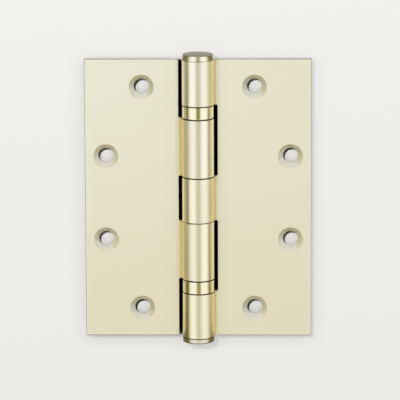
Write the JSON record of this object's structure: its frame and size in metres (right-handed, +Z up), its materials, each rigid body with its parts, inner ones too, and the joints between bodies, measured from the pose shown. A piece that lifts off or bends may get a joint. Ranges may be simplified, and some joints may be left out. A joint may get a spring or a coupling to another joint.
{
  "type": "ball bearing butt hinge",
  "caption": "Square-cornered door hinge with interleaved rolled knuckles, thrust bearings in the barrel, a loose pin with flat button tips and countersunk leaves.",
  "frame": {"origin": "centre of the bounding box, on the pin's axis half way up the leaves", "axes": "+Z up along the pin towards its loose end; +Y out of the leaves' flat backs; +X towards the edge of the three-knuckle leaf"},
  "size_m": [0.1016, 0.0154, 0.1316],
  "materials": {
    "leaf_brass": "satin",
    "tip_brass": "satin",
    "casing_brass": "polished",
    "pin_steel": "satin",
    "race_steel": "ground",
    "cage_brass": "satin",
    "ball_steel": "polished"
  },
  "bodies": {
    "jamb_leaf": {"three_knuckle_leaf": "leaf_brass", "bottom_tip": "tip_brass", "upper_bearing_casing": "casing_brass", "upper_bearing_seat_race": "race_steel", "lower_bearing_casing": "casing_brass", "lower_bearing_seat_race": "race_steel"},
    "door_leaf": {"two_knuckle_leaf": "leaf_brass", "upper_bearing_neck_race": "race_steel", "lower_bearing_neck_race": "race_steel"},
    "pin": {"hinge_pin": "pin_steel", "top_tip": "tip_brass"},
    "upper_cage": {"upper_bearing_cage": "cage_brass", "upper_bearing_ball_01": "ball_steel", "upper_bearing_ball_02": "ball_steel", "upper_bearing_ball_03": "ball_steel", "upper_bearing_ball_04": "ball_steel", "upper_bearing_ball_05": "ball_steel", "upper_bearing_ball_06": "ball_steel", "upper_bearing_ball_07": "ball_steel", "upper_bearing_ball_08": "ball_steel", "upper_bearing_ball_09": "ball_steel", "upper_bearing_ball_10": "ball_steel", "upper_bearing_ball_11": "ball_steel", "upper_bearing_ball_12": "ball_steel"},
    "lower_cage": {"lower_bearing_cage": "cage_brass", "lower_bearing_ball_01": "ball_steel", "lower_bearing_ball_02": "ball_steel", "lower_bearing_ball_03": "ball_steel", "lower_bearing_ball_04": "ball_steel", "lower_bearing_ball_05": "ball_steel", "lower_bearing_ball_06": "ball_steel", "lower_bearing_ball_07": "ball_steel", "lower_bearing_ball_08": "ball_steel", "lower_bearing_ball_09": "ball_steel", "lower_bearing_ball_10": "ball_steel", "lower_bearing_ball_11": "ball_steel", "lower_bearing_ball_12": "ball_steel"}
  },
  "joints": [
    {"name": "leaf_swing", "type": "hinge", "parent": "jamb_leaf", "child": "door_leaf", "pos_m": [0, 0, 0], "axis": [0, 0, 1], "range_deg": [-120, 180]},
    {"name": "pin_lift", "type": "slide", "parent": "jamb_leaf", "child": "pin", "axis": [0, 0, 1], "range_m": [0, 0.13]},
    {"name": "upper_cage_roll", "type": "hinge", "parent": "jamb_leaf", "child": "upper_cage", "pos_m": [0, 0, 0.04], "axis": [0, 0, 1], "range_deg": [-62, 92]},
    {"name": "lower_cage_roll", "type": "hinge", "parent": "jamb_leaf", "child": "lower_cage", "pos_m": [0, 0, -0.04], "axis": [0, 0, 1], "range_deg": [-62, 92]}
  ],
  "couplings": [
    {"joint": "upper_cage_roll", "follows": "leaf_swing", "ratio": 0.5},
    {"joint": "lower_cage_roll", "follows": "leaf_swing", "ratio": 0.5}
  ]
}
